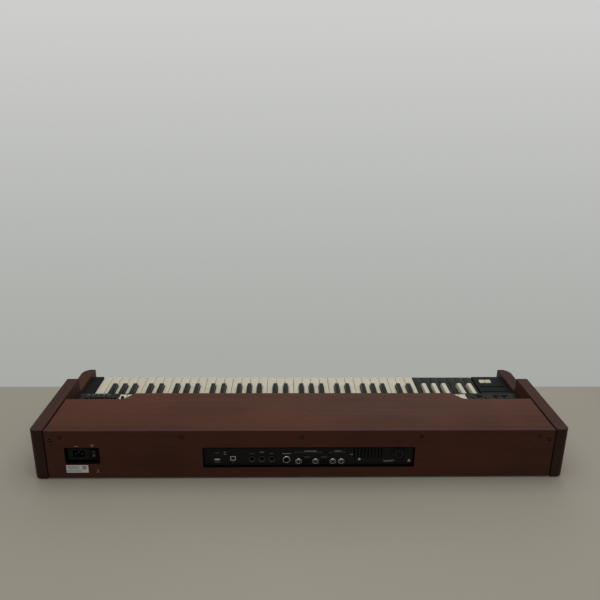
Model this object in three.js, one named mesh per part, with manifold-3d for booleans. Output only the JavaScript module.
// A single-manual tonewheel organ in a wooden case, with a waterfall manual of 61 keys, twelve preset keys in
// reversed colours, drawbars, tilting tablets, knobs and a rear panel of sockets.
// Millimetres. +X is the player's right, -Y the player's side, +Z up, and the origin lies on the floor under
// the middle of the instrument.

import * as THREE from "three";
import { mergeVertices } from "three/addons/utils/BufferGeometryUtils.js";
import Module from "manifold-3d";

const wasm = await Module();
wasm.setup();

// Whole instrument
const totalDepth = 386;
const totalHeight = 122;
const panelBelowBoard = 21.5; // control panel's front edge below the underside of the top board
const seat = 0.3; // gap left between two pieces that touch
const overrun = 5; // how far a cutting tool runs past the material
const weld = 0.001; // vertices closer than this are one vertex

// Side panels
const sideThick = 30;
const sideLift = 2; // height of the side panels' lower edge above the floor
const armRise = 16; // height of the arms above the natural keys
const tallOverhang = 7; // how far the tall part runs forward of the control panel
const coveRadius = 14;
const armCornerRadius = 28;
const armNoseRadius = 3;
const sideRearRadius = 16;
const sideFootRadius = 8;
const sideCrownRadius = 4;
const cleatWidth = 16;
const cleatSetback = 6; // behind the control panel's front edge

// Case boards
const boardDrop = 1.5; // top board below the top of the side panels
const boardThick = 15;
const rearThick = 15;
const reveal = 2.5; // shadow gap between the boards and the side panels
const rearLift = 5; // height of the rear panel's and front rail's lower edge above the floor
const railSetback = 2;
const railThick = 12;
const railDrop = 19; // top of the front rail below the natural keys
const baseLift = 7;
const baseThick = 8;
const shoulderRun = 39; // width of each S-shaped shoulder of the top board
const shoulderDepth = 30;
const leftShoulder = 158; // from the left side panel to the outer end of that shoulder
const rightShoulder = 129;
const boardEndReach = 97; // from the control panel's front edge to the top board's front edge at its ends

// Feet
const footRadius = 16;
const footTopRadius = 18;
const footInsetX = 60;
const footInsetY = 50;

// Keys
const naturalWidth = 22.5;
const keyGap = 1;
const headLength = 50;
const headThick = 11;
const apronThick = 4;
const apronHeight = 20;
const neckThick = 15;
const keyFrontGap = 2.3; // between the front rail and the keys
const playedLength = 125.7; // from the keys' front to the control panel's front edge
const pivotBehindPanel = 59;
const keyBarReach = 10; // half the length of the bar that joins a group of naturals at its pivot
const keyBarThick = 6;
const keyBarDrop = 19; // underside of that bar below the natural keys' top
const keyDip = 10; // how far a natural's front edge goes down
const sharpWidth = 10.5;
const sharpFootWidth = 12.5;
const sharpRise = 11;
const sharpFrontRun = 7; // length of the sloped front of a sharp key
const sharpCrownEnd = 4; // behind the control panel's front edge
const sharpArmDrop = 10.5; // underside of a sharp's rear arm below the natural keys' top
const sharpPivotBack = 20; // sharps' pivot behind the naturals' pivot
const sharpBarReach = 7;
const sharpBarThick = 8;
const sharpDip = 8.5;
const presetNaturals = 7;
const naturalsPerOctave = 7;
const octaves = 5;
// Middles of an octave's five sharps from the octave's left end, as shares of the pitch of the naturals
const sharpPlaceShares = [0.91, 2.09, 3.87, 5, 6.13];

// Key frame, its felt and the contact board
const frameSheet = 2;
const frameFront = 17; // from the keys' front to the frame's front edge
const frameRear = 15; // frame behind the sharps' pivot
const ridgeWidth = 4;
const feltWidth = 12;
const feltThick = 2.5;
const feltFromFront = 18;
const postWidth = 3;
const contactWidth = 50;
const contactFromPivot = 46; // rear edge of the contact board in front of the naturals' pivot
const boardSheet = 1.6; // thickness of every circuit board
const contactRidge = 12; // width of the rubber contact strip
const contactRidgeHeight = 9; // from the underside of the contact board to the top of that strip

// Cheek blocks
const leftBlockWidth = 79;
const rightBlockWidth = 27.5;
const blockRise = 3; // block tops above the natural keys
const blockWall = 3;
const blockNose = 4; // radius of the rounded front edge
const blockSideGap = 1.5; // between a block and the key beside it
const blockFrontGap = 4; // behind the front rail
const grooveWidth = 5;
const grooveDepth = 2;
const grooveFromPanel = 34.5;
const groovePitch = 26.5;
const grooveMargin = 5;

// Control panel
const panelTilt = THREE.MathUtils.degToRad(5);
const panelClear = 2; // sharps' tops below the panel
const panelThick = 2;
const panelEndGap = 1.5; // between the panel's ends and the side panels
const panelLength = 132; // along its slope
const panelLip = 3;
const endLipLap = 3; // how far the panel's end lips reach below the tops of the cheek blocks
const riserThick = 2;
const riserBehind = 4; // riser behind the top board's front edge

// Tablets
const tabWidth = 17;
const tabLength = 24;
const tabRise = 3;
const tabLow = 1;
const tabWaist = 1.6;
const tabRoot = 6;
const tabGap = 1.2; // between two tablets
const tabSlack = 0.5; // around a tablet in its window
const tabFromFront = 13; // from the panel's front edge to the tablet
const vibratoPastShoulder = 13.5; // inner edge of the vibrato tablets past the left shoulder's outer end
const percussionPastShoulder = 21; // outer edge of the percussion tablets past the right shoulder's outer end
const speakerTabWidth = 15;
const speakerTabLength = 15;
const speakerTabFromEdge = 13; // from the block's edge by the keys
const speakerTabFromFront = 25.5; // from the block's front

// Knobs, with places measured up the panel's slope from its front edge
const knobRadius = 6.5;
const smallKnobRadius = 4.6;
const knobHeight = 14;
const knobTaper = 0.7;
const shaftRadius = 3;
const shaftDepth = 6;
const shaftSlack = 0.4;
const leftKnobRow = 59;
const leftKnobNames = ["volume_knob", "overdrive_knob", "reverb_knob", "vibrato_knob"];
const leftKnobShares = [0.322, 0.486, 0.687, 0.92]; // of the panel from its left end to the vibrato tablets
const valueKnobFromTabs = 7; // outwards from the percussion tablets
const valueKnobRow = 54;
const levelKnobFromTabs = 14.5; // inwards from the outer edge of the percussion tablets
const levelKnobRow = 51;

// Buttons and display
const buttonRise = 2.5;
const buttonSlack = 0.4;
const buttonMat = 2.5;
const buttonMatRim = 4;
const pageButtonWidth = 9;
const pageButtonLength = 6.5;
const pageButtonPitchX = 13;
const pageButtonPitchY = 16.5;
const pageButtonColumns = 5;
const pageButtonRows = 2;
const pageButtonFromEnd = 25.5; // from the panel's right end to the last column
const pageButtonFromFront = 12;
const effectButtonWidth = 14;
const effectButtonLength = 8;
const effectButtonRow = 17.5;
const effectButtonShares = [0.245, 0.407, 0.73]; // of the panel from its left end to the vibrato tablets
const displayWidth = 60;
const displayLength = 24;
const displayRim = 3;
const displayGap = 1.5; // between the value knob and the display's frame, up the slope

// Drawbars
const drawbarPitch = 13.5;
const drawbarWidth = 7;
const drawbarThick = 4;
const drawbarKnobWidth = 11.5;
const drawbarKnobLength = 13;
const drawbarKnobHeight = 9;
const drawbarLift = 0.8; // bars above the panel
const drawbarSetGap = 20;
const drawbarCounts = [9, 9, 2, 9, 9];
const drawbarSetNames = [
  "upper_drawbars_a", "upper_drawbars_b", "pedal_drawbars", "lower_drawbars_a", "lower_drawbars_b",
];
const drawbarShown = 17; // how far a pushed-in drawbar stands out of its housing
const bayInset = 2; // housing inside the top board's shoulders
const bayFront = 5; // housing behind the top board's front edge
const bayLength = 54;
const bayHeight = 7.8;
const bayWall = 2;
const bayBrow = 12; // height of the housing's front wall above the panel
const crossBarLength = 8;
const crossBarBack = 6; // cross bar in front of the housing's rear wall, pushed in

// Jack plate, with places measured along X from the plate's right end
const jackWidth = 466;
const jackHeight = 48.5;
const jackMiddleX = -16;
const jackBottom = 29.5; // above the floor
const jackRecess = 6;
const plateSheet = 1.5;
const plateFlange = 6;
const plateSlack = 0.5;
const socketBack = 22; // from the plate's face to the jack board
const usbAFromEnd = 30;
const usbARise = 17;
const usbAWidth = 14.5;
const usbAHeight = 7.6;
const usbWall = 1;
const usbBFromEnd = 65;
const usbBRise = 19.5;
const usbBWidth = 12;
const usbBHeight = 11;
const dinFromEnd = 106.5;
const dinPitch = 21.8;
const dinCount = 3;
const dinRise = 17.2;
const dinRadius = 7.8;
const dinBore = 6.4;
const dinDepth = 7;
const phonesFromEnd = 183;
const phonesRise = 16;
const jackFromEnd = 209.5;
const jackPitch = 19;
const jackCount = 6;
const jackRise = 10.5;
const jackBushRadius = 5.6;
const jackBore = 3.3;
const jackBody = 13;
const jackStand = 3.5; // bush in front of the plate
const boreDepth = 18;
const ventFromJacks = 29; // from the last jack to the first slot of the vent
const ventFromSpeaker = 18; // least distance from the last slot to the speaker socket's lip
const ventPitch = 7.6;
const ventSlotWidth = 2.4;
const ventSlotHeight = 27;
const ventRise = 31;
const jackBoardHeight = 40;
const jackBoardMargin = 12;

// Socket for a rotary speaker
const speakerFromEnd = 32.6; // from the jack plate's left end
const speakerAboveMiddle = 2.05;
const speakerRadius = 14.5;
const speakerFlange = 17.5;
const speakerFlangeThick = 2;
const speakerDepth = 16;
const speakerWellRadius = 12;
const speakerWell = 5;

// Mains inlet plate, inlet and switch
const inletFromSide = 44; // from the right side panel to the cut-out
const inletBottom = 42.5;
const inletRecess = 8;
const mainsWidth = 30;
const mainsHeight = 22;
const mainsWall = 2.5;
const mainsDepth = 24;
const mainsWell = 16;
const mainsFlange = 8;
const mainsFlangeThick = 2;
const mainsMargin = 4; // between the inlet's lip and the side of the cut-out
const inletRim = 4.5; // between the inlet's lip and the top and bottom of the cut-out
const rockerWidth = 13;
const rockerHeight = 20;
const rockerFromSide = 5;
const rockerFromMains = 3; // between the rocker and the inlet's lip
const rockerProud = 3;
const rockerRoot = 6;
const rockerSlack = 0.7;

// Power supply and main board
const supplyWidth = 110;
const supplyHeight = 36;
const supplyFromSide = 100;
const innerFrontGap = 7; // from the key frame to the units behind it
const innerBehindGap = 34; // from the rear panel to the units inside
const mainWidth = 300;
const standoff = 6;
const standoffWidth = 8;
const chipHeight = 3;
const chipWidthShares = [0.1, 0.16, 0.08];
const chipPlaceShares = [0.2, 0.5, 0.8];
const chipLengthShare = 0.3;

// Worked out: widths
const keyPitch = naturalWidth + keyGap;
const presetWidth = presetNaturals * keyPitch;
const manualNaturals = octaves * naturalsPerOctave + 1;
const keysWidth = presetWidth + manualNaturals * keyPitch;
const innerWidth = leftBlockWidth + keysWidth + rightBlockWidth + 2 * blockSideGap;
const innerHalf = innerWidth / 2;
const keysLeft = -innerHalf + leftBlockWidth + blockSideGap;
const keysRight = keysLeft + keysWidth;
const manualLeft = keysLeft + presetWidth;

// Worked out: depths
const rearY = totalDepth / 2;
const frontY = -totalDepth / 2;
const rearInner = rearY - rearThick;
const railFront = frontY + railSetback;
const railBack = railFront + railThick;
const keyFront = railBack + keyFrontGap;
const headBack = keyFront + headLength;
const panelFront = keyFront + playedLength;
const tallFront = panelFront - tallOverhang;
const pivotY = panelFront + pivotBehindPanel;
const sharpPivotY = pivotY + sharpPivotBack;
const boardEndFront = panelFront + boardEndReach;
const boardMiddleFront = boardEndFront - shoulderDepth;

// Worked out: heights
const boardTop = totalHeight - boardDrop;
const boardUnder = boardTop - boardThick;
const baseTop = baseLift + baseThick;
const panelFrontZ = boardUnder - panelBelowBoard;
const sharpTop = panelFrontZ - panelThick - panelClear;
const naturalTop = sharpTop - sharpRise;
const railTop = naturalTop - railDrop;
const armTop = naturalTop + armRise;
const pivotZ = naturalTop - keyBarDrop;
const sharpPivotZ = naturalTop - sharpArmDrop;
const blockTop = naturalTop + blockRise;
const frameBottom = baseTop + seat;
const frameTop = frameBottom + frameSheet;

// Key travel, as angles about the pivots
const keyAngle = Math.asin(keyDip / (pivotY - keyFront));
const sharpAngle = Math.asin(sharpDip / (sharpPivotY - (headBack + sharpFrontRun)));

// Materials
function finish(color, roughness, metalness = 0) {
  return new THREE.MeshStandardMaterial({ color, roughness, metalness });
}

const wood = finish("#4a2a20", 0.45);
const plyBoard = finish("#5b4636", 0.8);
const ivory = finish("#e9e2cb", 0.35);
const blackKey = finish("#1a1a1b", 0.3);
const blackPlastic = finish("#232426", 0.45);
const panelBlack = finish("#2b2d2f", 0.5, 0.3);
const plateBlack = finish("#17181a", 0.55, 0.4);
const steel = finish("#9a9da0", 0.4, 0.9);
const rubber = finish("#141414", 0.9);
const felt = finish("#7c1620", 0.95);
const circuit = finish("#1f4a33", 0.6);
const displayGlass = finish("#10160f", 0.15);
const greyRubber = finish("#6d7072", 0.7);

// Geometry helpers: each gives a closed solid
function solidOf(geometry) {
  const bare = geometry.index ? geometry.toNonIndexed() : geometry.clone();
  bare.deleteAttribute("normal");
  bare.deleteAttribute("uv");
  const merged = mergeVertices(bare, weld);
  const corners = merged.index.array;
  const kept = [];
  for (let i = 0; i < corners.length; i += 3) {
    const [a, b, c] = [corners[i], corners[i + 1], corners[i + 2]];
    if (a !== b && b !== c && a !== c) kept.push(a, b, c);
  }
  const vertProperties = new Float32Array(merged.attributes.position.array);
  return new wasm.Manifold(new wasm.Mesh({ numProp: 3, vertProperties, triVerts: new Uint32Array(kept) }));
}

function box(x0, x1, y0, y1, z0, z1) {
  const geometry = new THREE.BoxGeometry(x1 - x0, y1 - y0, z1 - z0);
  return solidOf(geometry.translate((x0 + x1) / 2, (y0 + y1) / 2, (z0 + z1) / 2));
}

function extrude(shape, length, segments) {
  return new THREE.ExtrudeGeometry(shape, { depth: length, bevelEnabled: false, curveSegments: segments });
}

// An outline in Y and Z, carried along X
function alongX(shape, x0, x1, segments = 8) {
  const turn = new THREE.Matrix4().set(0, 0, 1, x0, 1, 0, 0, 0, 0, 1, 0, 0, 0, 0, 0, 1);
  return solidOf(extrude(shape, x1 - x0, segments).applyMatrix4(turn));
}

// An outline in X and Z, carried along Y
function alongY(shape, y0, y1, segments = 8) {
  const turn = new THREE.Matrix4().set(1, 0, 0, 0, 0, 0, -1, y1, 0, 1, 0, 0, 0, 0, 0, 1);
  return solidOf(extrude(shape, y1 - y0, segments).applyMatrix4(turn));
}

// An outline in X and Y, carried along Z
function alongZ(shape, z0, z1, segments = 8) {
  return solidOf(extrude(shape, z1 - z0, segments).translate(0, 0, z0));
}

function outline(points) {
  return new THREE.Shape(points.map(([a, b]) => new THREE.Vector2(a, b)));
}

// A round bar along Z, tapering from one radius to the other
function barZ(x, y, z0, z1, lowRadius, highRadius = lowRadius, sides = 20) {
  const bar = new THREE.CylinderGeometry(highRadius, lowRadius, z1 - z0, sides).rotateX(Math.PI / 2);
  return solidOf(bar.translate(x, y, (z0 + z1) / 2));
}

// A round bar along Y
function barY(x, z, y0, y1, radius, sides = 20) {
  return solidOf(new THREE.CylinderGeometry(radius, radius, y1 - y0, sides).translate(x, (y0 + y1) / 2, z));
}

const joined = (pieces) => pieces.reduce((whole, piece) => whole.add(piece));
const cut = (body, tools) => tools.reduce((left, tool) => left.subtract(tool), body);

function meshOf(name, solid, material) {
  const made = solid.getMesh();
  const geometry = new THREE.BufferGeometry();
  geometry.setAttribute("position", new THREE.BufferAttribute(new Float32Array(made.vertProperties), 3));
  geometry.setIndex(new THREE.BufferAttribute(new Uint32Array(made.triVerts), 1));
  geometry.computeVertexNormals();
  const mesh = new THREE.Mesh(geometry, material);
  mesh.name = name;
  return mesh;
}

// Height of a point of a key, given at rest, once the key has turned down about its pivot
function pressed(y, z, hingeY, hingeZ, angle) {
  return hingeZ + (y - hingeY) * Math.sin(angle) + (z - hingeZ) * Math.cos(angle);
}

// Height of the control panel's top surface above the floor at a given Y
const panelHeight = (y) => panelFrontZ + (y - panelFront) * Math.tan(panelTilt);

// Side panels: the side outline, rounded in plan and rear view, with the cleat that carries panel and board
function sidePanel(name, sign) {
  const side = new THREE.Shape();
  side.moveTo(rearY, sideLift);
  side.lineTo(rearY, totalHeight);
  side.lineTo(tallFront, totalHeight);
  side.lineTo(tallFront, armTop + coveRadius);
  side.absarc(tallFront - coveRadius, armTop + coveRadius, coveRadius, 0, -Math.PI / 2, true);
  side.lineTo(frontY + armNoseRadius, armTop);
  side.absarc(frontY + armNoseRadius, armTop - armNoseRadius, armNoseRadius, Math.PI / 2, Math.PI, false);
  side.lineTo(frontY, sideLift);
  const plan = new THREE.Shape();
  plan.moveTo(0, rearY);
  plan.lineTo(0, frontY);
  plan.lineTo(sideThick - armCornerRadius, frontY);
  plan.absarc(sideThick - armCornerRadius, frontY + armCornerRadius, armCornerRadius, -Math.PI / 2, 0, false);
  plan.lineTo(sideThick, rearY - sideRearRadius);
  plan.absarc(sideThick - sideRearRadius, rearY - sideRearRadius, sideRearRadius, 0, Math.PI / 2, false);
  const crownX = sideThick - sideCrownRadius;
  const crownZ = totalHeight - sideCrownRadius;
  const view = new THREE.Shape();
  view.moveTo(0, sideLift);
  view.lineTo(sideThick - sideFootRadius, sideLift);
  view.absarc(sideThick - sideFootRadius, sideLift + sideFootRadius, sideFootRadius, -Math.PI / 2, 0, false);
  view.lineTo(sideThick, crownZ);
  view.absarc(crownX, crownZ, sideCrownRadius, 0, Math.PI / 2, false);
  view.lineTo(0, totalHeight);
  const slab = alongX(side, 0, sideThick)
    .intersect(alongZ(plan, 0, totalHeight))
    .intersect(alongY(view, frontY, rearY));
  const panelUnder = (y) => panelHeight(y) - panelThick / Math.cos(panelTilt) - seat;
  const step = panelFront + panelLength + overrun;
  const cleatFront = panelFront + cleatSetback;
  const cleat = outline([
    [cleatFront, panelUnder(cleatFront) - cleatWidth],
    [rearInner - seat, panelUnder(cleatFront) - cleatWidth],
    [rearInner - seat, boardUnder - seat],
    [step, boardUnder - seat],
    [step, panelUnder(step)],
    [cleatFront, panelUnder(cleatFront)],
  ]);
  const whole = slab.add(alongX(cleat, -cleatWidth, overrun));
  const mesh = meshOf(name, whole, wood);
  mesh.position.x = sign * innerHalf;
  if (sign < 0) mesh.geometry = mirrored(mesh.geometry);
  return mesh;
}

// The same shape mirrored in X, with its faces turned back to point outwards
function mirrored(geometry) {
  const other = geometry.clone().scale(-1, 1, 1);
  const corners = other.index.array;
  for (let i = 0; i < corners.length; i += 3) [corners[i], corners[i + 1]] = [corners[i + 1], corners[i]];
  other.computeVertexNormals();
  return other;
}

const jackLeft = jackMiddleX - jackWidth / 2;
const jackRight = jackMiddleX + jackWidth / 2;
const inletRight = innerHalf - inletFromSide;
const mainsLip = mainsWidth + 2 * mainsFlange;
const inletLeft = inletRight - mainsMargin - mainsLip - rockerFromMains - rockerWidth - rockerFromSide;
const inletHeight = mainsHeight + 2 * mainsWall + 2 * inletRim;
const inletTop = inletBottom + inletHeight;
const jackTop = jackBottom + jackHeight;
const boardHalf = innerHalf - reveal;

function rearPanel() {
  const board = box(-boardHalf, boardHalf, rearInner, rearY, rearLift, boardTop);
  const jackHole = box(jackLeft, jackRight, rearInner - overrun, rearY + overrun, jackBottom, jackTop);
  const inletHole = box(inletLeft, inletRight, rearInner - overrun, rearY + overrun, inletBottom, inletTop);
  return meshOf("rear_panel", cut(board, [jackHole, inletHole]), wood);
}

// The top board reaches further forward in the middle, with an S-shaped shoulder at each end of that reach
function topBoard() {
  const left = -innerHalf + leftShoulder;
  const right = innerHalf - rightShoulder;
  const handle = shoulderRun / 2;
  const plan = new THREE.Shape();
  plan.moveTo(-boardHalf, rearInner - seat);
  plan.lineTo(-boardHalf, boardEndFront);
  plan.lineTo(left, boardEndFront);
  plan.bezierCurveTo(
    left + handle, boardEndFront, left + handle, boardMiddleFront, left + shoulderRun, boardMiddleFront,
  );
  plan.lineTo(right - shoulderRun, boardMiddleFront);
  plan.bezierCurveTo(right - handle, boardMiddleFront, right - handle, boardEndFront, right, boardEndFront);
  plan.lineTo(boardHalf, boardEndFront);
  plan.lineTo(boardHalf, rearInner - seat);
  return meshOf("top_board", alongZ(plan, boardUnder, boardTop, 10), wood);
}

function frontRail() {
  const half = innerHalf - seat;
  return meshOf("front_rail", box(-half, half, railFront, railBack, rearLift, railTop), wood);
}

function baseBoard() {
  const half = innerHalf - seat;
  const board = box(-half, half, railBack + seat, rearInner - seat, baseLift, baseTop);
  return meshOf("base_board", board, plyBoard);
}

function foot(name, signX, signY) {
  const x = signX * (innerHalf - footInsetX);
  const y = signY * (rearY - footInsetY);
  return meshOf(name, barZ(x, y, 0, baseLift - seat, footRadius, footTopRadius, 24), rubber);
}

// The key frame: a folded steel tray whose upstands carry the felt, the contact board and both rows of pivots
const feltFront = keyFront + feltFromFront;
const naturalStop = pressed(feltFront, naturalTop - headThick, pivotY, pivotZ, keyAngle);
const feltTop = naturalStop - seat;
const feltBottom = feltTop - feltThick;
const contactBack = pivotY - contactFromPivot;
const contactFront = contactBack - contactWidth;
const ridgeFront = (contactFront + contactBack - contactRidge) / 2;
const neckUnder = naturalTop - neckThick;
const ridgeByNatural = pressed(ridgeFront, neckUnder, pivotY, pivotZ, keyAngle);
const ridgeBySharp = pressed(ridgeFront, neckUnder, sharpPivotY, sharpPivotZ, sharpAngle);
const ridgeTop = Math.min(ridgeByNatural, ridgeBySharp) - seat;
const contactBottom = ridgeTop - contactRidgeHeight;
const frameBack = sharpPivotY + frameRear;

function keyFrame() {
  const wall = (y0, y1, top) => box(keysLeft, keysRight, y0, y1, frameBottom, top);
  const shelfTop = feltBottom - seat;
  const shelfBack = feltFront + feltWidth;
  const feltShelf = box(keysLeft, keysRight, feltFront, shelfBack, shelfTop - frameSheet, shelfTop);
  const parts = [
    wall(keyFront + frameFront, frameBack, frameTop),
    wall(feltFront, feltFront + frameSheet, shelfTop),
    feltShelf,
    wall(contactFront, contactFront + postWidth, contactBottom - seat),
    wall(contactBack - postWidth, contactBack, contactBottom - seat),
    wall(pivotY - ridgeWidth / 2, pivotY + ridgeWidth / 2, pivotZ - seat),
    wall(sharpPivotY - ridgeWidth / 2, sharpPivotY + ridgeWidth / 2, sharpPivotZ - seat),
  ];
  return meshOf("key_frame", joined(parts), steel);
}

function keyFelt() {
  const strip = box(keysLeft, keysRight, feltFront, feltFront + feltWidth, feltBottom, feltTop);
  return meshOf("key_felt", strip, felt);
}

// The contact board: a circuit board with one rubber contact strip, as high as pressed keys leave room for
function contactBoard() {
  const sheetTop = contactBottom + boardSheet;
  const board = box(keysLeft, keysRight, contactFront, contactBack, contactBottom, sheetTop);
  const strip = box(keysLeft, keysRight, ridgeFront, ridgeFront + contactRidge, contactBottom, ridgeTop);
  return meshOf("contact_board", board.add(strip), circuit);
}

// Middle of a sharp, from the left end of its octave
const sharpPlace = (share) => share * keyPitch;

// A group of naturals, joined at the pivot: each has a full-width head and a neck cut back beside the sharps
function naturalGroup(name, left, count, material) {
  const parts = [];
  const neckBack = pivotY + keyBarReach;
  const room = sharpFootWidth / 2 + keyGap;
  for (let i = 0; i < count; i += 1) {
    const x0 = left + i * keyPitch + keyGap / 2;
    const x1 = left + (i + 1) * keyPitch - keyGap / 2;
    let neckLeft = x0;
    let neckRight = x1;
    sharpPlaceShares.forEach((share) => {
      const middle = left + sharpPlace(share);
      if (Math.abs(middle - x0) < keyPitch / 2) neckLeft = middle + room;
      if (Math.abs(middle - x1) < keyPitch / 2) neckRight = middle - room;
    });
    parts.push(box(x0, x1, keyFront, headBack, naturalTop - headThick, naturalTop));
    parts.push(box(x0, x1, keyFront, keyFront + apronThick, naturalTop - apronHeight, naturalTop));
    parts.push(box(neckLeft, neckRight, headBack - overrun, neckBack, neckUnder, naturalTop));
  }
  const barLeft = left + keyGap / 2;
  const barRight = left + count * keyPitch - keyGap / 2;
  parts.push(box(barLeft, barRight, pivotY - keyBarReach, neckBack, pivotZ, pivotZ + keyBarThick));
  return meshOf(name, joined(parts), material);
}

// A group of sharps, joined behind the naturals: each has a sloped front, a tapered crown and a low rear arm
function sharpGroup(name, left, material) {
  const base = headBack + keyGap;
  const crownEnd = panelFront + sharpCrownEnd;
  const armTopZ = sharpPivotZ + sharpBarThick;
  const parts = sharpPlaceShares.map((share) => {
    const middle = left + sharpPlace(share);
    const flank = outline([
      [base, neckUnder],
      [crownEnd, neckUnder],
      [crownEnd, sharpTop],
      [base + sharpFrontRun, sharpTop],
      [base, naturalTop],
    ]);
    const head = outline([
      [middle - sharpFootWidth / 2, neckUnder],
      [middle + sharpFootWidth / 2, neckUnder],
      [middle + sharpFootWidth / 2, naturalTop],
      [middle + sharpWidth / 2, sharpTop],
      [middle - sharpWidth / 2, sharpTop],
      [middle - sharpFootWidth / 2, naturalTop],
    ]);
    const crown = alongX(flank, middle - sharpFootWidth, middle + sharpFootWidth).intersect(
      alongY(head, base - overrun, crownEnd + overrun),
    );
    const arm = box(
      middle - sharpWidth / 2, middle + sharpWidth / 2,
      crownEnd - overrun, sharpPivotY + sharpBarReach, sharpPivotZ, armTopZ,
    );
    return crown.add(arm);
  });
  const barLeft = left + sharpPlace(sharpPlaceShares[0]) - sharpWidth / 2;
  const barRight = left + sharpPlace(sharpPlaceShares.at(-1)) + sharpWidth / 2;
  const [barFront, barBack] = [sharpPivotY - sharpBarReach, sharpPivotY + sharpBarReach];
  parts.push(box(barLeft, barRight, barFront, barBack, sharpPivotZ, armTopZ));
  return meshOf(name, joined(parts), material);
}

// Cheek blocks: moulded shells, open below, with a rounded front edge
const blockFront = railBack + blockFrontGap;
const blockBack = panelFront - keyGap;

function blockShell(x0, x1) {
  const side = new THREE.Shape();
  side.moveTo(blockBack, frameBottom);
  side.lineTo(blockBack, blockTop);
  side.lineTo(blockFront + blockNose, blockTop);
  side.absarc(blockFront + blockNose, blockTop - blockNose, blockNose, Math.PI / 2, Math.PI, false);
  side.lineTo(blockFront, frameBottom);
  const hollow = box(
    x0 + blockWall, x1 - blockWall, blockFront + blockWall, blockBack - blockWall,
    frameBottom - overrun, blockTop - Math.max(blockWall, blockNose),
  );
  return alongX(side, x0, x1).subtract(hollow);
}

const speakerTabRight = keysLeft - blockSideGap - speakerTabFromEdge;
const speakerTabX = (i) => speakerTabRight - speakerTabWidth / 2 - i * (speakerTabWidth + tabGap);
const speakerTabFront = blockFront + speakerTabFromFront;
const speakerTabs = 2;

function leftBlock() {
  const x0 = -innerHalf + seat;
  const x1 = keysLeft - blockSideGap;
  const groove = (i) => {
    const y = panelFront - grooveFromPanel - i * groovePitch;
    return box(x0 + grooveMargin, x1 - grooveMargin, y - grooveWidth / 2, y + grooveWidth / 2,
      blockTop - grooveDepth, blockTop + overrun);
  };
  const wellLeft = speakerTabX(speakerTabs - 1) - speakerTabWidth / 2 - tabSlack;
  const wellRight = speakerTabX(0) + speakerTabWidth / 2 + tabSlack;
  const window = box(
    wellLeft, wellRight, speakerTabFront - tabSlack, speakerTabFront + speakerTabLength + tabSlack,
    blockTop - Math.max(blockWall, blockNose) - overrun, blockTop + overrun,
  );
  return meshOf("cheek_block_left", cut(blockShell(x0, x1), [groove(0), groove(1), window]), blackPlastic);
}

function rightBlock() {
  return meshOf("cheek_block_right", blockShell(keysRight + blockSideGap, innerHalf - seat), blackPlastic);
}

// A tilting tablet about its own pivot: high at the player's end, waisted in the middle, low at the far end
function tablet(name, x, y, z, width = tabWidth, length = tabLength) {
  const half = length / 2;
  const side = outline([
    [-half, tabRise],
    [-half, -tabLow],
    [0, -tabRoot],
    [half, -tabLow],
    [half, tabLow],
    [0, tabWaist],
  ]);
  const mesh = meshOf(name, alongX(side, -width / 2, width / 2), ivory);
  mesh.position.set(x, y, z);
  return mesh;
}

// Control panel group: x along the panel, y up its slope from the front edge, z out of its surface
const panelHalf = innerHalf - panelEndGap;
const bayLeft = -innerHalf + leftShoulder + shoulderRun + bayInset;
const bayRight = innerHalf - rightShoulder - shoulderRun - bayInset;
const upSlope = (y) => (y - panelFront) / Math.cos(panelTilt);
const bayFrontSlope = upSlope(boardMiddleFront + bayFront);
const bayBackSlope = bayFrontSlope + bayLength;
const vibratoTabs = 2;
const percussionTabs = 4;
const vibratoInner = -innerHalf + leftShoulder + vibratoPastShoulder;
const vibratoTabX = (i) => vibratoInner - tabWidth / 2 - i * (tabWidth + tabGap);
const vibratoOuter = vibratoTabX(vibratoTabs - 1) - tabWidth / 2;
const percussionOuter = innerHalf - rightShoulder + percussionPastShoulder;
const percussionTabX = (i) => percussionOuter - tabWidth / 2 - i * (tabWidth + tabGap);
const tabMiddleSlope = tabFromFront + tabLength / 2;
const leftSectionX = (share) => -panelHalf + share * (vibratoOuter + panelHalf);
const knobPlaces = [
  ...leftKnobShares.map((share, i) => [leftKnobNames[i], leftSectionX(share), leftKnobRow, knobRadius]),
  ["value_knob", percussionOuter + valueKnobFromTabs, valueKnobRow, knobRadius],
  ["level_knob", percussionOuter - levelKnobFromTabs, levelKnobRow, smallKnobRadius],
];
const pageButtonX = (column) => panelHalf - pageButtonFromEnd - column * pageButtonPitchX;
const pageButtonY = (row) => pageButtonFromFront + row * pageButtonPitchY;
const pageButtons = [];
for (let column = 0; column < pageButtonColumns; column += 1) {
  for (let row = 0; row < pageButtonRows; row += 1) pageButtons.push([pageButtonX(column), pageButtonY(row)]);
}
const effectButtons = effectButtonShares.map((share) => [leftSectionX(share), effectButtonRow]);
const displayRight = pageButtonX(0) + pageButtonWidth / 2;
const displayBottom = valueKnobRow + knobRadius + displayGap + displayRim;

function tabWindow(first, last) {
  return box(
    first - tabWidth / 2 - tabSlack, last + tabWidth / 2 + tabSlack,
    tabFromFront - tabSlack, tabFromFront + tabLength + tabSlack, -panelThick - overrun, overrun,
  );
}

function buttonHoles(places, width, length) {
  const [halfWidth, halfLength] = [width / 2 + buttonSlack, length / 2 + buttonSlack];
  return places.map(([x, y]) => (
    box(x - halfWidth, x + halfWidth, y - halfLength, y + halfLength, -panelThick - overrun, overrun)
  ));
}

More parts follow.
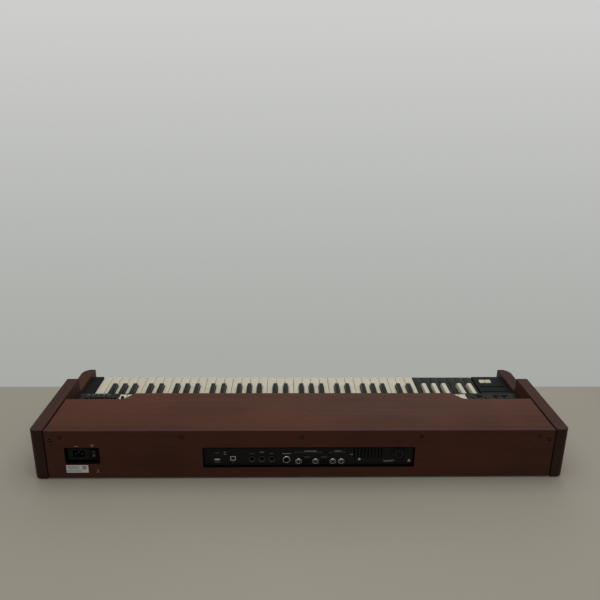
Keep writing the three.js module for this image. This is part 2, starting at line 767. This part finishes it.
function controlPanel() {
  const sheet = box(-panelHalf, panelHalf, 0, panelLength, -panelThick, 0);
  const lip = box(-panelHalf, panelHalf, 0, panelThick, -panelLip, 0);
  const endDrop = blockTop - endLipLap - panelFrontZ;
  const leftLip = box(-panelHalf, keysLeft - blockSideGap, 0, panelThick, endDrop, 0);
  const rightLip = box(keysRight + blockSideGap, panelHalf, 0, panelThick, endDrop, 0);
  const riserSlope = upSlope(boardEndFront + riserBehind);
  const riserTop = boardUnder - seat - panelHeight(boardEndFront + riserBehind + riserThick);
  const riserBack = riserSlope + riserThick;
  const leftRiser = box(-panelHalf, bayLeft - seat, riserSlope, riserBack, -panelThick, riserTop);
  const rightRiser = box(bayRight + seat, panelHalf, riserSlope, riserBack, -panelThick, riserTop);
  const holes = knobPlaces.map(([, x, y]) => (
    barZ(x, y, -panelThick - overrun, overrun, shaftRadius + shaftSlack, shaftRadius + shaftSlack, 16)
  ));
  holes.push(tabWindow(vibratoTabX(vibratoTabs - 1), vibratoTabX(0)));
  holes.push(tabWindow(percussionTabX(percussionTabs - 1), percussionTabX(0)));
  holes.push(...buttonHoles(pageButtons, pageButtonWidth, pageButtonLength));
  holes.push(...buttonHoles(effectButtons, effectButtonWidth, effectButtonLength));
  holes.push(box(
    displayRight - displayWidth, displayRight, displayBottom, displayBottom + displayLength,
    -panelThick - overrun, overrun,
  ));
  const whole = joined([sheet, lip, leftLip, rightLip, leftRiser, rightRiser]);
  return meshOf("control_panel", cut(whole, holes), panelBlack);
}

function knob(name, x, y, radius) {
  const cap = barZ(0, 0, seat, knobHeight, radius, radius - knobTaper, 24);
  const shaft = barZ(0, 0, -shaftDepth, overrun, shaftRadius, shaftRadius, 12);
  const mesh = meshOf(name, cap.add(shaft), blackPlastic);
  mesh.position.set(x, y, 0);
  return mesh;
}

// A rubber button mat: caps that stand through the panel, joined below it
function buttonMatOf(name, places, width, length) {
  const matTop = -panelThick - seat;
  const matBottom = matTop - buttonMat;
  const [xs, ys] = [places.map(([x]) => x), places.map(([, y]) => y)];
  const [reachX, reachY] = [width / 2 + buttonMatRim, length / 2 + buttonMatRim];
  const mat = box(
    Math.min(...xs) - reachX, Math.max(...xs) + reachX, Math.min(...ys) - reachY, Math.max(...ys) + reachY,
    matBottom, matTop,
  );
  const caps = places.map(([x, y]) => (
    box(x - width / 2, x + width / 2, y - length / 2, y + length / 2, matBottom, buttonRise)
  ));
  return meshOf(name, joined([mat, ...caps]), greyRubber);
}

function displayWindow() {
  const top = -panelThick - seat;
  return meshOf("display_window", box(
    displayRight - displayWidth - displayRim, displayRight + displayRim,
    displayBottom - displayRim, displayBottom + displayLength + displayRim, top - boardSheet, top,
  ), displayGlass);
}

// Drawbar housing: a low cover, open below, with one window for each set and a tall front wall
const setWidths = drawbarCounts.map((count) => count * drawbarPitch);
const allSetsWidth = setWidths.reduce((sum, width) => sum + width) + (setWidths.length - 1) * drawbarSetGap;
const setsLeft = (bayLeft + bayRight - allSetsWidth) / 2;
const setLeft = (i) => setWidths.slice(0, i).reduce((x, width) => x + width + drawbarSetGap, setsLeft);

function drawbarBase() {
  const bottom = seat;
  const browTop = Math.min(bayBrow, boardUnder - seat - panelHeight(boardMiddleFront + bayFront + bayWall));
  const cover = box(bayLeft, bayRight, bayFrontSlope, bayBackSlope, bottom, bayHeight);
  const brow = box(bayLeft, bayRight, bayFrontSlope, bayFrontSlope + bayWall, bottom, browTop);
  const hollow = box(
    bayLeft + bayWall, bayRight - bayWall, bayFrontSlope + bayWall, bayBackSlope - bayWall,
    bottom - overrun, bayHeight - bayWall,
  );
  const windows = setWidths.map((width, i) => box(
    setLeft(i), setLeft(i) + width, bayFrontSlope - overrun, bayFrontSlope + bayWall + overrun,
    bottom - overrun, drawbarLift + drawbarThick + tabSlack,
  ));
  return meshOf("drawbar_base", cut(cover.add(brow), [hollow, ...windows]), blackPlastic);
}

// A set of drawbars: bars side by side, each with a knob, joined inside the housing by a cross bar
function drawbarSet(name, left, count) {
  const front = bayFrontSlope - drawbarShown;
  const back = bayBackSlope - bayWall - crossBarBack;
  const low = drawbarLift;
  const high = drawbarLift + drawbarThick;
  const parts = [box(
    left + keyGap, left + count * drawbarPitch - keyGap, back - crossBarLength, back, low, high,
  )];
  for (let i = 0; i < count; i += 1) {
    const middle = left + (i + 0.5) * drawbarPitch;
    parts.push(box(middle - drawbarWidth / 2, middle + drawbarWidth / 2, front, back, low, high));
    parts.push(box(
      middle - drawbarKnobWidth / 2, middle + drawbarKnobWidth / 2,
      front, front + drawbarKnobLength, low, low + drawbarKnobHeight,
    ));
  }
  return meshOf(name, joined(parts), ivory);
}

// A pan of folded sheet behind a cut-out: its face stands in the cut-out and its flange lies behind the board
function pan(left, right, bottom, top, faceY) {
  const flangeBack = rearInner - seat - plateSheet;
  const flange = box(
    left - plateFlange, right + plateFlange, flangeBack, rearInner - seat,
    bottom - plateFlange, top + plateFlange,
  );
  const [x0, x1] = [left + plateSlack, right - plateSlack];
  const [z0, z1] = [bottom + plateSlack, top - plateSlack];
  const face = box(x0, x1, flangeBack, faceY, z0, z1);
  const hollow = box(
    x0 + plateSheet, x1 - plateSheet, flangeBack - overrun, faceY - plateSheet,
    z0 + plateSheet, z1 - plateSheet,
  );
  return flange.add(face).subtract(hollow);
}

const jackFace = rearY - jackRecess;
const jackBoardFront = jackFace - socketBack;
const jackPlaces = [[jackRight - phonesFromEnd, phonesRise]];
for (let i = 0; i < jackCount; i += 1) jackPlaces.push([jackRight - jackFromEnd - i * jackPitch, jackRise]);
const lastJackX = jackPlaces[jackCount][0];
const dinPlaces = [];
for (let i = 0; i < dinCount; i += 1) dinPlaces.push([jackRight - dinFromEnd - i * dinPitch, dinRise]);
const usbAX = jackRight - usbAFromEnd;
const usbBX = jackRight - usbBFromEnd;
const speakerX = jackLeft + speakerFromEnd;
const speakerRise = jackHeight / 2 + speakerAboveMiddle;
const ventRight = lastJackX - ventFromJacks;
const ventRoom = ventRight - (speakerX + speakerFlange + ventFromSpeaker);

function blockAt(x, rise, width, height, y0, y1) {
  const z = jackBottom + rise;
  return box(x - width / 2, x + width / 2, y0, y1, z - height / 2, z + height / 2);
}

function jackPlate() {
  const back = jackFace - plateSheet - overrun;
  const front = jackFace + overrun;
  const round = ([x, rise], radius) => barY(x, jackBottom + rise, back, front, radius, 20);
  const holes = [
    ...jackPlaces.map((place) => round(place, jackBushRadius + plateSlack)),
    ...dinPlaces.map((place) => round(place, dinRadius + plateSlack)),
    round([speakerX, speakerRise], speakerRadius + plateSlack),
    blockAt(usbAX, usbARise, usbAWidth + 2 * plateSlack, usbAHeight + 2 * plateSlack, back, front),
    blockAt(usbBX, usbBRise, usbBWidth + 2 * plateSlack, usbBHeight + 2 * plateSlack, back, front),
  ];
  for (let along = 0; along < ventRoom; along += ventPitch) {
    holes.push(blockAt(ventRight - along, ventRise, ventSlotWidth, ventSlotHeight, back, front));
  }
  const whole = pan(jackLeft, jackRight, jackBottom, jackTop, jackFace);
  return meshOf("jack_plate", cut(whole, holes), plateBlack);
}

// The jack board with its sockets, whose bushes and mouths stand in the plate's holes
function jackBoard() {
  const bodyFront = jackFace - plateSheet - seat;
  const board = box(
    lastJackX - jackBoardMargin, usbAX + jackBoardMargin,
    jackBoardFront - boardSheet, jackBoardFront, jackBottom, jackBottom + jackBoardHeight,
  );
  const parts = [board];
  const bores = [];
  jackPlaces.forEach(([x, rise]) => {
    const z = jackBottom + rise;
    parts.push(blockAt(x, rise, jackBody, jackBody, jackBoardFront - boardSheet, bodyFront));
    const tip = jackFace + jackStand;
    parts.push(barY(x, z, bodyFront - overrun, tip, jackBushRadius, 16));
    bores.push(barY(x, z, tip - boreDepth, tip + overrun, jackBore, 12));
  });
  dinPlaces.forEach(([x, rise]) => {
    const z = jackBottom + rise;
    parts.push(blockAt(x, rise, 2 * dinRadius, 2 * dinRadius, jackBoardFront - boardSheet, bodyFront));
    parts.push(barY(x, z, bodyFront - overrun, jackFace + plateSheet, dinRadius, 20));
    bores.push(barY(x, z, jackFace + plateSheet - dinDepth, jackFace + overrun, dinBore, 16));
  });
  [
    [usbAX, usbARise, usbAWidth, usbAHeight],
    [usbBX, usbBRise, usbBWidth, usbBHeight],
  ].forEach(([x, rise, width, height]) => {
    const tip = jackFace + plateSheet;
    parts.push(blockAt(x, rise, width, height, jackBoardFront - boardSheet, tip));
    bores.push(blockAt(x, rise, width - 2 * usbWall, height - 2 * usbWall, tip - boreDepth, tip + overrun));
  });
  return meshOf("jack_board", cut(joined(parts), bores), blackPlastic);
}

function speakerSocket() {
  const [x, z] = [speakerX, jackBottom + speakerRise];
  const lipBack = jackFace + seat;
  const lipFront = lipBack + speakerFlangeThick;
  const body = barY(x, z, jackFace - speakerDepth, lipFront, speakerRadius, 24);
  const lip = barY(x, z, lipBack, lipFront, speakerFlange, 24);
  const well = barY(x, z, lipFront - speakerWell, lipFront + overrun, speakerWellRadius, 24);
  return meshOf("speaker_socket", body.add(lip).subtract(well), blackPlastic);
}

const inletFace = rearY - inletRecess;
const mainsRight = inletRight - mainsMargin - mainsFlange;
const mainsLeft = mainsRight - mainsWidth;
const mainsMiddle = inletBottom + inletHeight / 2;
const rockerLeft = inletLeft + rockerFromSide;

function inletPlate() {
  const whole = pan(inletLeft, inletRight, inletBottom, inletTop, inletFace);
  const back = inletFace - plateSheet - overrun;
  const front = inletFace + overrun;
  const socketHole = box(
    mainsLeft - plateSlack, mainsRight + plateSlack, back, front,
    mainsMiddle - mainsHeight / 2 - plateSlack, mainsMiddle + mainsHeight / 2 + plateSlack,
  );
  const rockerHole = box(
    rockerLeft - rockerSlack, rockerLeft + rockerWidth + rockerSlack, back, front,
    mainsMiddle - rockerHeight / 2 - rockerSlack, mainsMiddle + rockerHeight / 2 + rockerSlack,
  );
  return meshOf("inlet_plate", cut(whole, [socketHole, rockerHole]), plateBlack);
}

function powerInlet() {
  const lipBack = inletFace + seat;
  const lipFront = lipBack + mainsFlangeThick;
  const [z0, z1] = [mainsMiddle - mainsHeight / 2, mainsMiddle + mainsHeight / 2];
  const body = box(mainsLeft, mainsRight, inletFace - mainsDepth, lipFront, z0, z1);
  const [lipLeft, lipRight] = [mainsLeft - mainsFlange, mainsRight + mainsFlange];
  const lip = box(lipLeft, lipRight, lipBack, lipFront, z0 - mainsWall, z1 + mainsWall);
  const well = box(
    mainsLeft + mainsWall, mainsRight - mainsWall, lipFront - mainsWell, lipFront + overrun,
    z0 + mainsWall, z1 - mainsWall,
  );
  return meshOf("power_inlet", body.add(lip).subtract(well), blackPlastic);
}

// The mains switch rocker about its own pivot, in Y and Z, with its upper half proud
function powerRocker() {
  const half = rockerHeight / 2;
  const side = outline([
    [-rockerRoot, 0],
    [-plateSheet, -half],
    [seat, -half],
    [plateSheet, 0],
    [rockerProud, half],
    [-plateSheet, half],
  ]);
  const mesh = meshOf("power_rocker", alongX(side, 0, rockerWidth), blackPlastic);
  mesh.position.set(rockerLeft, inletFace, mainsMiddle);
  return mesh;
}

const unitFront = frameBack + innerFrontGap;
const unitBack = rearInner - innerBehindGap;

function powerSupply() {
  const right = innerHalf - supplyFromSide;
  const can = box(right - supplyWidth, right, unitFront, unitBack, frameBottom, frameBottom + supplyHeight);
  return meshOf("power_supply", can, steel);
}

function mainBoard() {
  const left = jackMiddleX - mainWidth / 2;
  const low = frameBottom + standoff;
  const high = low + boardSheet;
  const parts = [box(left, left + mainWidth, unitFront, unitBack, low, high)];
  [left, left + mainWidth - standoffWidth].forEach((x) => {
    [unitFront, unitBack - standoffWidth].forEach((y) => {
      parts.push(box(x, x + standoffWidth, y, y + standoffWidth, frameBottom, high));
    });
  });
  const chipLength = chipLengthShare * (unitBack - unitFront);
  const chipFront = unitFront + chipLength;
  chipPlaceShares.forEach((place, i) => {
    const half = (chipWidthShares[i] * mainWidth) / 2;
    const middle = left + place * mainWidth;
    parts.push(box(middle - half, middle + half, chipFront, chipFront + chipLength, low, high + chipHeight));
  });
  return meshOf("main_board", joined(parts), circuit);
}

// Assembly
const organ = new THREE.Group();
organ.add(
  sidePanel("side_panel_left", -1), sidePanel("side_panel_right", 1), rearPanel(), topBoard(),
  frontRail(), baseBoard(),
  foot("foot_front_left", -1, -1), foot("foot_front_right", 1, -1),
  foot("foot_rear_left", -1, 1), foot("foot_rear_right", 1, 1),
  keyFrame(), keyFelt(), contactBoard(), leftBlock(), rightBlock(),
  jackPlate(), jackBoard(), speakerSocket(), inletPlate(), powerInlet(), powerRocker(),
  powerSupply(), mainBoard(),
);

organ.add(naturalGroup("preset_naturals", keysLeft, presetNaturals, blackKey));
organ.add(sharpGroup("preset_sharps", keysLeft, ivory));
for (let octave = 0; octave < octaves; octave += 1) {
  const left = manualLeft + octave * naturalsPerOctave * keyPitch;
  const count = octave === octaves - 1 ? naturalsPerOctave + 1 : naturalsPerOctave;
  organ.add(naturalGroup(`naturals_octave_${octave + 1}`, left, count, ivory));
  organ.add(sharpGroup(`sharps_octave_${octave + 1}`, left, blackKey));
}

for (let i = 0; i < speakerTabs; i += 1) {
  const [name, x] = [`speaker_tab_${i + 1}`, speakerTabX(speakerTabs - 1 - i)];
  const middle = speakerTabFront + speakerTabLength / 2;
  organ.add(tablet(name, x, middle, blockTop, speakerTabWidth, speakerTabLength));
}

const controls = new THREE.Group();
controls.position.set(0, panelFront, panelFrontZ);
controls.rotation.x = panelTilt;
controls.add(
  controlPanel(), displayWindow(), drawbarBase(),
  buttonMatOf("page_buttons", pageButtons, pageButtonWidth, pageButtonLength),
  buttonMatOf("effect_buttons", effectButtons, effectButtonWidth, effectButtonLength),
);
knobPlaces.forEach(([name, x, y, radius]) => controls.add(knob(name, x, y, radius)));
for (let i = 0; i < vibratoTabs; i += 1) {
  controls.add(tablet(`vibrato_tab_${i + 1}`, vibratoTabX(vibratoTabs - 1 - i), tabMiddleSlope, 0));
}
for (let i = 0; i < percussionTabs; i += 1) {
  controls.add(tablet(`percussion_tab_${i + 1}`, percussionTabX(percussionTabs - 1 - i), tabMiddleSlope, 0));
}
drawbarCounts.forEach((count, i) => controls.add(drawbarSet(drawbarSetNames[i], setLeft(i), count)));
organ.add(controls);

export default organ;
